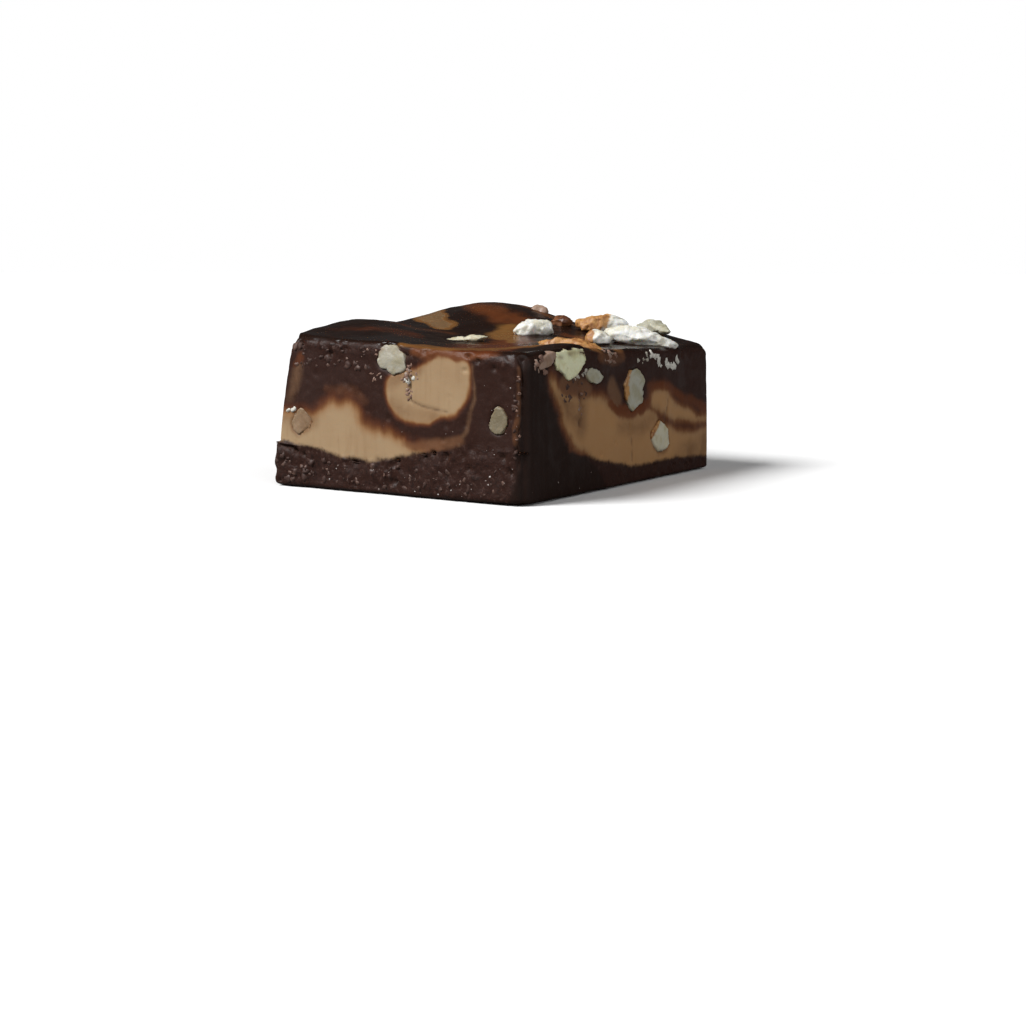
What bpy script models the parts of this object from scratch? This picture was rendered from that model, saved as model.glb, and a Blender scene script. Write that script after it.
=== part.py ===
"""Fudge cube: a flat square cut by hand from a slab of chocolate and caramel fudge with pecans.

A layer of chocolate fudge lies underneath. The caramel fudge above it has chocolate stirred
through it, and broken pecans are pressed into the top. More pecans run through the slab, and the
knife has sliced the ones that reach a side. The top was swirled by hand, so it rises towards the
back left and rolls over at its edges.

Metres, +Z up. The origin is under the middle of the piece, on the surface that it stands on.
+X runs along the front cut, +Y runs along the right-hand cut, which is the longer one.
"""

import math
import random

import bmesh
import bpy
from mathutils import Matrix, Vector, noise

MM = 0.001

# Driving dimensions
WIDTH = 54.3 * MM  # front cut, along X
DEPTH = 66.7 * MM  # right-hand cut, along Y
LAYER_GAP = 0.3 * MM  # between the two fudges, and between fudge and pecan

# Values at the four corners of the plan: front left, front right, back right, back left
CORNERS = ((-1, -1), (1, -1), (1, 1), (-1, 1))
TOP_HEIGHTS = (27.2 * MM, 25.4 * MM, 24.0 * MM, 28.4 * MM)
BASE_HEIGHTS = (8.0 * MM, 9.0 * MM, 2.2 * MM, 6.0 * MM)
FOOT_CORNERS = (1.4 * MM, 4.0 * MM, 1.2 * MM, 3.0 * MM)  # radii of the upright edges, low down
CROWN_CORNERS = (5.0 * MM, 3.8 * MM, 2.4 * MM, 4.0 * MM)  # and where they meet the top

EDGE_ROUNDING = 1.5 * MM  # top edges, away from the corners
FOOT_ROUNDING = 0.8 * MM  # where the sides meet the flat underside
LEAN = 2.2 * MM  # how far the left-hand cut leans in at the front of its top
LEDGE = 0.9 * MM  # how far the chocolate layer stands out under the front left corner
WOBBLE = 0.35 * MM  # unevenness of the hand-cut sides
WOBBLE_LENGTH = 9.0 * MM
RIPPLE = 0.35 * MM  # unevenness of the swirled top
RIPPLE_LENGTH = 13.0 * MM

# Swells and hollows of the top: centre x and y, radius, height
SWELLS = (
    (-14 * MM, 22 * MM, 14 * MM, 4.8 * MM),
    (-23 * MM, -14 * MM, 13 * MM, 2.2 * MM),
    (-21 * MM, 11 * MM, 9 * MM, 0.9 * MM),
    (14 * MM, 27 * MM, 9 * MM, 2.0 * MM),
    (-3 * MM, -8 * MM, 12 * MM, -0.8 * MM),
    (17 * MM, -27 * MM, 6 * MM, -0.5 * MM),
    (24 * MM, -17 * MM, 6 * MM, 1.2 * MM),
)
# Hollows of the chocolate layer under the stirred caramel, in the same terms
SAGS = (
    (-6 * MM, -32 * MM, 12 * MM, -3.0 * MM),
    (25 * MM, 2 * MM, 14 * MM, -2.2 * MM),
    (-6 * MM, 14 * MM, 14 * MM, 1.8 * MM),
)

# Grid of each fudge: spans along X, Y and up
PLAN_SPANS = (16, 20)
BASE_SPANS = 3
MARBLED_SPANS = 7
FLAT_ANGLE = math.radians(0.5)

# Pecans pressed into the top: name, x, y, lift of the middle above the fudge, length, width,
# height, turn about Z, tilt along its length, shape
TOP_PECANS = (
    ("pecan_top_ridge", 21.4, 15.8, 0.8, 14.4, 5.2, 4.4, 35, 11, "half"),
    ("pecan_top_behind_ridge", 18.8, 26.2, 0.8, 11.0, 4.2, 3.2, -25, 5, "chunk"),
    ("pecan_top_skin_right", 9.6, 21.8, 1.2, 10.4, 5.0, 4.2, 39, -2, "half"),
    ("pecan_top_skin_left", 1.2, 20.4, 0.1, 5.2, 5.0, 3.4, 30, 0, "half"),
    ("pecan_top_double", 2.4, 8.2, 0.8, 9.6, 5.0, 3.8, 60, -3, "chunk"),
    ("pecan_top_pale", 17.2, 7.4, 1.1, 5.4, 4.4, 3.2, 10, 3, "chunk"),
    ("pecan_top_front_skin", 20.8, -8.6, 0.1, 12.4, 4.6, 3.2, 25, 5, "half"),
    ("pecan_top_flake", -2.6, -8.0, 0.2, 9.4, 5.4, 1.5, 28, -3, "chunk"),
    ("pecan_top_back", -7.4, 25.4, -0.3, 4.4, 3.8, 2.8, 0, 0, "chunk"),
)

# Pecans that the knife sliced: name, side, place along the side, height of the middle, how far
# the middle lies behind the cut, length along the side, height, thickness, turn in the side, shape
CUT_PECANS = (
    ("pecan_front_edge", "front", 0.0, 23.6, 1.2, 7.0, 5.0, 6.0, 25, "chunk"),
    ("pecan_front_column", "front", 21.8, 14.0, 1.0, 4.0, 5.2, 4.6, 12, "chunk"),
    ("pecan_front_left", "front", -20.3, 12.0, 0.9, 5.0, 4.6, 4.8, -20, "chunk"),
    ("pecan_right_edge", "right", -18.8, 24.0, 0.9, 10.4, 8.2, 6.0, -12, "chunk"),
    ("pecan_right_small", "right", -11.2, 20.5, 0.8, 6.0, 3.0, 4.0, 8, "chunk"),
    ("pecan_right_corner", "right", -26.0, 24.0, 0.6, 6.4, 2.8, 4.0, -26, "chunk"),
    ("pecan_right_tall", "right", 3.2, 17.3, 1.1, 8.4, 7.6, 5.4, 40, "half"),
    ("pecan_right_white", "right", 13.8, 7.4, 1.2, 7.8, 6.6, 5.2, 20, "chunk"),
    ("pecan_back_high", "back", 9.0, 22.0, 1.0, 8.6, 6.2, 6.0, 18, "chunk"),
    ("pecan_back_middle", "back", -9.0, 13.4, 1.0, 6.4, 7.6, 5.0, -30, "half"),
    ("pecan_back_low", "back", 19.2, 12.6, 0.9, 5.2, 4.6, 4.6, 5, "chunk"),
    ("pecan_left_high", "left", 14.0, 19.6, 1.0, 7.2, 5.4, 5.6, -15, "chunk"),
    ("pecan_left_middle", "left", -6.5, 15.4, 1.1, 8.2, 6.2, 5.2, 35, "half"),
    ("pecan_left_back", "left", -22.0, 20.8, 0.9, 5.4, 5.8, 4.8, 0, "chunk"),
)
SIDE_TURNS = {"front": 0, "right": 90, "back": 180, "left": 270}

# Form of a broken pecan of unit size: how lumpy it is, its lengthwise groove, how much thinner its
# ends are, how far from its middle pieces broke off, and how many did
LUMPINESS = 0.30
LUMPS_ACROSS = 1.4
GROOVE_WIDTH = 0.11
GROOVE_DEPTH = 0.14
THIN_ENDS = 0.5
BREAK_REACH = (0.36, 0.43)
BREAKS = {"half": 1, "chunk": 3}

# Looks of the three foods: colour, roughness
CHOCOLATE = ("chocolate_fudge", (0.042, 0.020, 0.014), 0.45)
MARBLED = ("caramel_fudge", (0.38, 0.25, 0.14), 0.5)
PECAN = ("pecan", (0.50, 0.43, 0.30), 0.6)


def clear_scene():
    """Removes the objects that the file opens with."""
    for old in list(bpy.data.objects):
        bpy.data.objects.remove(old)


def collection(name):
    made = bpy.data.collections.new(name)
    bpy.context.scene.collection.children.link(made)
    return made


def material(name, colour, roughness):
    made = bpy.data.materials.new(name)
    made.use_nodes = True
    shader = made.node_tree.nodes["Principled BSDF"]
    shader.inputs["Base Color"].default_value = (*colour, 1.0)
    shader.inputs["Roughness"].default_value = roughness
    shader.inputs["Metallic"].default_value = 0.0
    return made


def add_object(name, bm, group, finish):
    """Turns a bmesh into a named object in a collection."""
    mesh = bpy.data.meshes.new(name)
    bm.to_mesh(mesh)
    bm.free()
    mesh.materials.append(finish)
    made = bpy.data.objects.new(name, mesh)
    group.objects.link(made)
    return made


def add_cutter(name, bm, group, finish):
    """An object that only cuts others, and isn't part of the piece."""
    made = add_object(name, bm, group, finish)
    made.hide_render = True
    made.display_type = "WIRE"
    return made


def clamp(value, low, high):
    return max(low, min(high, value))


def across(values, s, t):
    """A value in the plan, from its values at the four corners. s and t run from -1 to 1."""
    shares = [(1 + s * cs) * (1 + t * ct) / 4 for cs, ct in CORNERS]
    return sum(share * value for share, value in zip(shares, values))


def swell(bumps, x, y):
    """The height that round bumps and hollows add at a place in the plan."""
    total = 0.0
    for cx, cy, radius, height in bumps:
        reach = ((x - cx) ** 2 + (y - cy) ** 2) / radius**2
        total += height * math.exp(-reach)
    return total


def top_height(s, t):
    """Height of the swirled top."""
    x, y = s * WIDTH / 2, t * DEPTH / 2
    ripple = RIPPLE * noise.noise(Vector((x, y, 0)) / RIPPLE_LENGTH)
    return across(TOP_HEIGHTS, s, t) + swell(SWELLS, x, y) + ripple


def base_height(s, t):
    """Height of the seam between the chocolate layer and the marbled fudge."""
    return across(BASE_HEIGHTS, s, t) + swell(SAGS, s * WIDTH / 2, t * DEPTH / 2)


def rounding(s, t, rise):
    """Radius of an upright edge, and of the top edge, at a share of the height."""
    corner = across(FOOT_CORNERS, s, t)
    corner += (across(CROWN_CORNERS, s, t) - corner) * rise**3
    near_corner = abs(s * t) ** 6
    return EDGE_ROUNDING + (corner - EDGE_ROUNDING) * near_corner


def fudge_point(s, t, z):
    """Where a point of the square prism goes in the real piece: rounded, leaning and uneven."""
    top = top_height(s, t)
    rise = clamp(z / top, 0, 1)
    radius = rounding(s, t, rise)
    x, y = s * WIDTH / 2, t * DEPTH / 2
    core = Vector((
        clamp(x, radius - WIDTH / 2, WIDTH / 2 - radius),
        clamp(y, radius - DEPTH / 2, DEPTH / 2 - radius),
        clamp(z, FOOT_ROUNDING, top - radius),
    ))
    upright = FOOT_ROUNDING if z < core.z else radius
    outward = Vector(((x - core.x) / radius, (y - core.y) / radius, (z - core.z) / upright))
    if outward.length > 1:
        outward.normalize()
    point = core + Vector((outward.x * radius, outward.y * radius, outward.z * upright))

    left, front = (1 - s) / 2, (1 - t) / 2
    point.x += LEAN * rise**1.6 * left**2 * (0.3 + 0.7 * front)
    point.y += 0.4 * LEAN * rise**2 * left * front**2
    along = Vector((x, y, z * 0.6)) / WOBBLE_LENGTH
    point.x += WOBBLE * s**3 * noise.noise(along)
    point.y += WOBBLE * t**3 * noise.noise(along + Vector((7, 3, 5)))
    return point


def ledge(s, t, point):
    """Steps the marbled fudge back from the chocolate layer under the front left corner."""
    left, front = (1 - s) / 2, (1 - t) / 2
    share = left**4 * front**4
    point.x += LEDGE * share * (s < -0.999)
    point.y += 0.5 * LEDGE * share * (t < -0.999)
    return point


def fudge_prism(spans_up, low, high, step_back):
    """A gridded prism between two heights in the plan, shaped as fudge."""
    bm = bmesh.new()
    bmesh.ops.create_cube(bm, size=2.0)
    for axis, spans in enumerate((*PLAN_SPANS, spans_up)):
        along = [
            edge for edge in bm.edges
            if abs(edge.verts[0].co[axis] - edge.verts[1].co[axis]) > 1.0
        ]
        bmesh.ops.subdivide_edges(bm, edges=along, cuts=spans - 1, use_grid_fill=True)
    for vert in bm.verts:
        s, t, rise = vert.co.x, vert.co.y, (vert.co.z + 1) / 2
        bottom, top = low(s, t), high(s, t)
        point = fudge_point(s, t, bottom + rise * (top - bottom))
        vert.co = ledge(s, t, point) if step_back else point
    return bm


def chocolate_layer():
    bm = fudge_prism(BASE_SPANS, lambda s, t: 0.0, base_height, step_back=False)
    bmesh.ops.dissolve_limit(
        bm, angle_limit=FLAT_ANGLE, verts=bm.verts[:], edges=bm.edges[:]
    )
    bmesh.ops.triangulate(bm, faces=bm.faces[:])
    return bm


def marbled_layer():
    return fudge_prism(
        MARBLED_SPANS,
        lambda s, t: base_height(s, t) + LAYER_GAP,
        top_height,
        step_back=True,
    )


def fracture(bm, rng, count):
    """Breaks flat faces off a lump, as a chopped nut has."""
    for _ in range(count):
        away = Vector([rng.uniform(-1, 1) for _ in range(3)]).normalized()
        bmesh.ops.bisect_plane(
            bm,
            geom=bm.verts[:] + bm.edges[:] + bm.faces[:],
            plane_co=away * rng.uniform(*BREAK_REACH),
            plane_no=away,
            clear_outer=True,
        )
        rim = [edge for edge in bm.edges if edge.is_boundary]
        if rim:
            bmesh.ops.contextual_create(bm, geom=rim)


def pecan_lump(seed, shape):
    """A broken pecan of unit size about the origin, its length along X and its back up."""
    rng = random.Random(seed)
    bm = bmesh.new()
    bmesh.ops.create_icosphere(bm, subdivisions=2, radius=0.5)
    for vert in bm.verts:
        out = vert.co.normalized()
        lumpy = 1 + LUMPINESS * noise.noise(out * LUMPS_ACROSS + Vector((seed, 0, 0)))
        vert.co *= lumpy
        if shape == "half":
            groove = math.exp(-((vert.co.y / GROOVE_WIDTH) ** 2)) * max(0.0, out.z)
            ends = 1 - THIN_ENDS * abs(vert.co.x)
            vert.co.z = vert.co.z * ends - GROOVE_DEPTH * groove
    fracture(bm, rng, BREAKS[shape])
    bmesh.ops.triangulate(bm, faces=bm.faces[:])
    bmesh.ops.recalc_face_normals(bm, faces=bm.faces[:])
    return bm


def fit_to(bm, size):
    """Scales a lump so that its box has this size, centred on the origin."""
    for axis in range(3):
        values = [vert.co[axis] for vert in bm.verts]
        middle, span = (max(values) + min(values)) / 2, max(values) - min(values)
        for vert in bm.verts:
            vert.co[axis] = (vert.co[axis] - middle) * size[axis] / span


def swollen(bm, by):
    """A copy of a lump grown all round."""
    grown = bm.copy()
    grown.normal_update()
    for vert in grown.verts:
        vert.co += vert.normal * by
    return grown


def top_place(x, y, lift, turn, tilt):
    """Where a pecan lies on the top."""
    height = top_height(2 * x / WIDTH, 2 * y / DEPTH) + lift
    return (
        Matrix.Translation((x, y, height))
        @ Matrix.Rotation(math.radians(turn), 4, "Z")
        @ Matrix.Rotation(math.radians(tilt), 4, "Y")
    )


def side_place(side, along, height, behind, turn):
    """Where a pecan lies behind a cut side: its length along the cut, its thickness inwards."""
    half = DEPTH / 2 if side in ("front", "back") else WIDTH / 2
    return (
        Matrix.Rotation(math.radians(SIDE_TURNS[side]), 4, "Z")
        @ Matrix.Translation((along, behind - half, height))
        @ Matrix.Rotation(math.radians(turn), 4, "Y")
    )


def boolean(target, name, operation, **other):
    cut = target.modifiers.new(name, "BOOLEAN")
    cut.operation = operation
    cut.solver = "EXACT"
    for setting, value in other.items():
        setattr(cut, setting, value)


def add_pecan(name, seed, shape, size, place, parts, pockets, finish):
    """One pecan and the cutter of its pocket in the fudge."""
    lump = pecan_lump(seed, shape)
    fit_to(lump, size)
    lump.transform(place)
    add_cutter("pocket_" + name, swollen(lump, LAYER_GAP), pockets, finish)
    return add_object(name, lump, parts, finish)


def build():
    clear_scene()
    parts = collection("fudge_cube")
    cutters = collection("cutters")
    pockets = collection("pecan_pockets")
    chocolate, caramel, nut = (material(*look) for look in (CHOCOLATE, MARBLED, PECAN))

    add_object("chocolate_base", chocolate_layer(), parts, chocolate)
    marbled = add_object("marbled_fudge", marbled_layer(), parts, caramel)
    uncut = add_cutter("uncut_fudge", marbled_layer(), cutters, caramel)

    for seed, row in enumerate(TOP_PECANS, start=1):
        name, x, y, lift, length, width, height, turn, tilt, shape = row
        size = (length * MM, width * MM, height * MM)
        place = top_place(x * MM, y * MM, lift * MM, turn, tilt)
        add_pecan(name, seed, shape, size, place, parts, pockets, nut)

    for seed, row in enumerate(CUT_PECANS, start=101):
        name, side, along, high, behind, length, height, thick, turn, shape = row
        size = (length * MM, thick * MM, height * MM)
        place = side_place(side, along * MM, high * MM, behind * MM, turn)
        pecan = add_pecan(name, seed, shape, size, place, parts, pockets, nut)
        boolean(pecan, "sliced", "INTERSECT", object=uncut)

    boolean(marbled, "pockets", "DIFFERENCE", operand_type="COLLECTION", collection=pockets)


build()
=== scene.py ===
import math
import random

import bmesh
import bpy
import numpy as np
from mathutils import Matrix, Vector, noise
from mathutils.bvhtree import BVHTree


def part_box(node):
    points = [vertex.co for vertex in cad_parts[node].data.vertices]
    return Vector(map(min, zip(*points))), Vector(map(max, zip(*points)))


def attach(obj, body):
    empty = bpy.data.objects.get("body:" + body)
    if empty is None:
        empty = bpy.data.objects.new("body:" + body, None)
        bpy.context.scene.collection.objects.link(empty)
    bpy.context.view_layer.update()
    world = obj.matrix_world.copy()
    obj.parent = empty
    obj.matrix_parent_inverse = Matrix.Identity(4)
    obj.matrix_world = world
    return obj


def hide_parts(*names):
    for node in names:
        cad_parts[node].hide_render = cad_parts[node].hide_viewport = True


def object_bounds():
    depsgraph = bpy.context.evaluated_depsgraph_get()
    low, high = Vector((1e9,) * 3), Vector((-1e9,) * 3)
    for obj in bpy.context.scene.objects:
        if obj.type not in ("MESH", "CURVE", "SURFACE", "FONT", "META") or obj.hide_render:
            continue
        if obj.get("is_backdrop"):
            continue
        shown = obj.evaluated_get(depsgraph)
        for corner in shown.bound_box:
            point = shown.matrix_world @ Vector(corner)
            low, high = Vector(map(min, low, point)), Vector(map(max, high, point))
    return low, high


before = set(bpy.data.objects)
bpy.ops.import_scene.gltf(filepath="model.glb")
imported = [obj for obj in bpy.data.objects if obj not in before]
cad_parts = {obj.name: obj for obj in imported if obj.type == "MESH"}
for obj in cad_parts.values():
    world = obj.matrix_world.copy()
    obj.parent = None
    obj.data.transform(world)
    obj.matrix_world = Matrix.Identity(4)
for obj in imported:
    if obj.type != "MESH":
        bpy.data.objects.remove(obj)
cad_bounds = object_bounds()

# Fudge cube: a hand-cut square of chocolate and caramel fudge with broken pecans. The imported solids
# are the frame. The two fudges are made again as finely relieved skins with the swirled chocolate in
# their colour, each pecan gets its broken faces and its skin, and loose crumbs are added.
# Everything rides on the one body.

MM = 0.001

# ---------------------------------------------------------------------------------------------
# The studio: a white sheet, one wide soft light high on the left in front and a weaker one on the
# right. The sheet and the room are white to look at but throw back little light, so that they
# don't grey the dark fudge. The camera is low, in front of the right-hand front corner.

scene = bpy.context.scene
scene.view_settings.view_transform = "Standard"
scene.view_settings.look = "None"

CAMERA_PLACE = Vector((178.0 * MM, -268.56 * MM, 39.53 * MM))
CAMERA_AIM = Vector((10.55 * MM, -11.46 * MM, -4.72 * MM))

camera_data = bpy.data.cameras.new("camera")
camera_data.lens = 60.54
camera_data.sensor_width = 36.0
camera_data.clip_start = 0.01
camera = bpy.data.objects.new("camera", camera_data)
scene.collection.objects.link(camera)
camera.location = CAMERA_PLACE
camera.rotation_euler = (CAMERA_AIM - CAMERA_PLACE).to_track_quat("-Z", "Y").to_euler()
scene.camera = camera


def soft_light(name, towards, width, strength):
    """A wide white light that shines evenly from one way. towards points from the piece to it."""
    light = bpy.data.lights.new(name, "SUN")
    light.energy = strength
    light.angle = math.radians(width)
    light.color = (1.0, 1.0, 1.0)
    holder = bpy.data.objects.new(name, light)
    holder.rotation_euler = Vector(towards).to_track_quat("Z", "Y").to_euler()
    scene.collection.objects.link(holder)


soft_light("key_light", (-0.40, -0.60, 0.69), 30, 4.2)
soft_light("fill_light", (0.80, -0.25, 0.50), 60, 1.15)


def white_to_look_at(nodes, links, seen, thrown, output):
    """Two shaders: one that the camera sees, and one that lights and is mirrored."""
    path = nodes.new("ShaderNodeLightPath")
    either = nodes.new("ShaderNodeMixShader")
    links.new(path.outputs["Is Camera Ray"], either.inputs["Fac"])
    links.new(thrown.outputs[0], either.inputs[1])
    links.new(seen.outputs[0], either.inputs[2])
    links.new(either.outputs[0], output.inputs["Surface"])


room = bpy.data.worlds.new("room")
room.use_nodes = True
scene.world = room
room_nodes = room.node_tree.nodes
room_nodes.clear()
white_wall = room_nodes.new("ShaderNodeBackground")
white_wall.inputs["Color"].default_value = (1.0, 1.0, 1.0, 1)
dim_wall = room_nodes.new("ShaderNodeBackground")
dim_wall.inputs["Color"].default_value = (0.05, 0.05, 0.05, 1)
room_output = room_nodes.new("ShaderNodeOutputWorld")
white_to_look_at(room_nodes, room.node_tree.links, white_wall, dim_wall, room_output)

sheet_bm = bmesh.new()
bmesh.ops.create_grid(sheet_bm, x_segments=1, y_segments=1, size=6.0)
sheet_mesh = bpy.data.meshes.new("floor")
sheet_bm.to_mesh(sheet_mesh)
sheet_bm.free()
floor = bpy.data.objects.new("floor", sheet_mesh)
scene.collection.objects.link(floor)
paper = bpy.data.materials.new("floor_paper")
paper.use_nodes = True
paper_nodes = paper.node_tree.nodes
paper_nodes.clear()
white_paper = paper_nodes.new("ShaderNodeBsdfDiffuse")
white_paper.inputs["Color"].default_value = (0.96, 0.96, 0.96, 1)
dim_paper = paper_nodes.new("ShaderNodeBsdfDiffuse")
dim_paper.inputs["Color"].default_value = (0.24, 0.24, 0.24, 1)
paper_output = paper_nodes.new("ShaderNodeOutputMaterial")
white_to_look_at(paper_nodes, paper.node_tree.links, white_paper, dim_paper, paper_output)
sheet_mesh.materials.append(paper)
floor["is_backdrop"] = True

# ---------------------------------------------------------------------------------------------
# Pecans: roasted kernels, chopped, then stirred into the fudge or pressed into its top, where the
# knife slices those in its way. Each is a copy of its solid with finer and rougher broken faces,
# and keeps a patch of its skin.

rng = random.Random(7)

# For each nut its flesh, the way that its skin faces, and how much skin is left, from -1 to 1
PECAN_LOOKS = {
    "pecan_top_ridge": ("white", (0, 0, 1), -0.9),
    "pecan_top_behind_ridge": ("grey", (0, 0, -1), -0.1),
    "pecan_top_skin_right": ("white", (-1, -0.5, 0.2), 0.65),
    "pecan_top_skin_left": ("brown", (-0.6, -0.4, 0.6), 0.9),
    "pecan_top_double": ("white", (0.4, 1, -0.2), -0.7),
    "pecan_top_pale": ("white", (-1, -0.5, 0.0), 0.1),
    "pecan_top_front_skin": ("white", (0.6, 0.2, 1), 0.95),
    "pecan_top_flake": ("pale", (0, 0, 1), -0.9),
    "pecan_top_back": ("pink", (0, 0, 1), -0.7),
    "pecan_front_edge": ("silver", (0, 0, -1), -0.8),
    "pecan_front_column": ("clouded", (0, 0, -1), -0.9),
    "pecan_front_left": ("brownish", (1, 0, -0.5), -0.3),
    "pecan_right_edge": ("green", (0, 0, -1), -0.8),
    "pecan_right_small": ("grey", (0, 0, -1), -0.9),
    "pecan_right_corner": ("pink", (0, 0, -1), -0.9),
    "pecan_right_tall": ("grey", (0, -1, 0.3), 0.0),
    "pecan_right_white": ("pale", (0, -0.8, 0.6), -0.1),
    "pecan_back_high": ("pale", (1, 0, -0.4), -0.3),
    "pecan_back_middle": ("silver", (-1, 0, 0.3), -0.2),
    "pecan_back_low": ("pale", (0, 0, -1), -0.7),
    "pecan_left_high": ("grey", (0, 1, 0), -0.5),
    "pecan_left_middle": ("silver", (0, -1, 0.4), -0.2),
    "pecan_left_back": ("green", (0, 0, -1), -0.8),
}
# The skin, light and dark
BARK = {
    "amber": ((0.46, 0.235, 0.075), (0.27, 0.10, 0.026)),
    "brown": ((0.17, 0.060, 0.018), (0.075, 0.022, 0.008)),
}
FLESH = {
    "white": (0.76, 0.76, 0.73),
    "pale": (0.60, 0.56, 0.42),
    "silver": (0.37, 0.345, 0.275),
    "clouded": (0.20, 0.165, 0.105),
    "grey": (0.42, 0.41, 0.33),
    "green": (0.80, 0.80, 0.54),
    "pink": (0.34, 0.23, 0.18),
    "brownish": (0.26, 0.17, 0.10),
    "brown": (0.26, 0.10, 0.04),
}
FLESH_VEIN = (0.30, 0.19, 0.09)
FUDGE_FILM = (0.16, 0.075, 0.03)
# The shortest edge that still gets cut in two, for the broken faces
FACET = 0.45 * MM


def smooth_step(low, high, value):
    share = np.clip((value - low) / (high - low), 0.0, 1.0)
    return share * share * (3 - 2 * share)


def point_attribute(mesh, name, values):
    made = mesh.attributes.new(name, "FLOAT", "POINT")
    made.data.foreach_set("value", np.asarray(values, np.float32))


def add_piece(name, bm, finish, slot, *stands_for):
    """A finished mesh as a piece that rides on the body and stands for its solids."""
    mesh = bpy.data.meshes.new(name)
    bm.to_mesh(mesh)
    bm.free()
    mesh.materials.append(finish)
    piece = bpy.data.objects.new(name, mesh)
    scene.collection.objects.link(piece)
    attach(piece, "root")
    if stands_for:
        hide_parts(*stands_for)
    return piece


def in_box(point):
    """Keeps a point inside the solids' box."""
    low, high = cad_bounds
    for axis in range(3):
        point[axis] = min(max(point[axis], low[axis]), high[axis])
    return point


def noise_node(nodes, links, vector, scale, detail, distortion=0.0):
    made = nodes.new("ShaderNodeTexNoise")
    made.inputs["Scale"].default_value = scale
    made.inputs["Detail"].default_value = detail
    made.inputs["Distortion"].default_value = distortion
    links.new(vector, made.inputs["Vector"])
    return made.outputs["Fac"]


def math_node(nodes, links, operation, first, second=0.0, third=0.0):
    """A Math node. Each input is a number or a socket."""
    made = nodes.new("ShaderNodeMath")
    made.operation = operation
    for place, value in enumerate((first, second, third)):
        if isinstance(value, (int, float)):
            made.inputs[place].default_value = value
        else:
            links.new(value, made.inputs[place])
    return made.outputs[0]


def mix_colour(nodes, links, share, first, second):
    """A Mix node for colours. Each colour is a tuple or a socket."""
    made = nodes.new("ShaderNodeMix")
    made.data_type = "RGBA"
    for socket, value in ((made.inputs[0], share), (made.inputs[6], first), (made.inputs[7], second)):
        if isinstance(value, tuple):
            socket.default_value = (*value, 1.0)
        elif isinstance(value, (int, float)):
            socket.default_value = value
        else:
            links.new(value, socket)
    return made.outputs[2]


def span(nodes, links, value, low, high, to_low=0.0, to_high=1.0):
    """A smooth Map Range node."""
    made = nodes.new("ShaderNodeMapRange")
    made.interpolation_type = "SMOOTHSTEP"
    links.new(value, made.inputs["Value"])
    made.inputs["From Min"].default_value = low
    made.inputs["From Max"].default_value = high
    made.inputs["To Min"].default_value = to_low
    made.inputs["To Max"].default_value = to_high
    return made.outputs["Result"]


def attribute_node(nodes, name):
    made = nodes.new("ShaderNodeAttribute")
    made.attribute_name = name
    return made.outputs["Fac"]


def new_material(name):
    """A material's nodes and links, its shader, and where a point is on the piece."""
    made = bpy.data.materials.new(name)
    made.use_nodes = True
    nodes, links = made.node_tree.nodes, made.node_tree.links
    place = nodes.new("ShaderNodeTexCoord").outputs["Object"]
    return made, nodes, links, nodes["Principled BSDF"], place


def bump_node(nodes, links, height, strength, distance):
    made = nodes.new("ShaderNodeBump")
    made.inputs["Strength"].default_value = strength
    made.inputs["Distance"].default_value = distance
    links.new(height, made.inputs["Height"])
    return made.outputs["Normal"]


def pecan_material(kind):
    """Nut flesh: waxy, pale, a little mottled, with brown skin where it is left on."""
    made, nodes, links, shader, place = new_material("pecan_" + kind)
    flesh = FLESH[kind]
    deep = tuple(part * shade for part, shade in zip(flesh, (0.80, 0.76, 0.64)))
    mottle = noise_node(nodes, links, place, 420, 3, 0.4)
    colour = mix_colour(nodes, links, span(nodes, links, mottle, 0.38, 0.66), flesh, deep)
    veins = noise_node(nodes, links, place, 1500, 2)
    colour = mix_colour(nodes, links, span(nodes, links, veins, 0.58, 0.74, 0, 0.22), colour, FLESH_VEIN)
    ragged = math_node(nodes, links, "MULTIPLY_ADD", mottle, 0.9, attribute_node(nodes, "skin"))
    skinned = span(nodes, links, ragged, 0.86, 1.04)
    streaks = noise_node(nodes, links, place, 700, 4, 1.2)
    light_bark, dark_bark = BARK["brown" if kind == "brown" else "amber"]
    bark = mix_colour(nodes, links, span(nodes, links, streaks, 0.35, 0.7), light_bark, dark_bark)
    colour = mix_colour(nodes, links, skinned, colour, bark)
    colour = mix_colour(nodes, links, attribute_node(nodes, "buried"), colour, FUDGE_FILM)
    links.new(colour, shader.inputs["Base Color"])
    links.new(span(nodes, links, mottle, 0.3, 0.7, 0.38, 0.62), shader.inputs["Roughness"])
    grain = noise_node(nodes, links, place, 1900, 3)
    links.new(bump_node(nodes, links, grain, 0.35, 0.00025), shader.inputs["Normal"])
    shader.inputs["Subsurface Weight"].default_value = 0.15
    shader.inputs["Subsurface Scale"].default_value = 0.002
    shader.inputs["Subsurface Radius"].default_value = (1.0, 0.7, 0.4)
    return made


flesh_materials = {kind: pecan_material(kind) for kind in FLESH}
pecan_trees = []
# Which way each cut side faces: along x or y, up or down
NUT_SIDE_WALLS = {"front": (1, -1), "right": (0, 1), "back": (1, 1), "left": (0, -1)}


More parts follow.
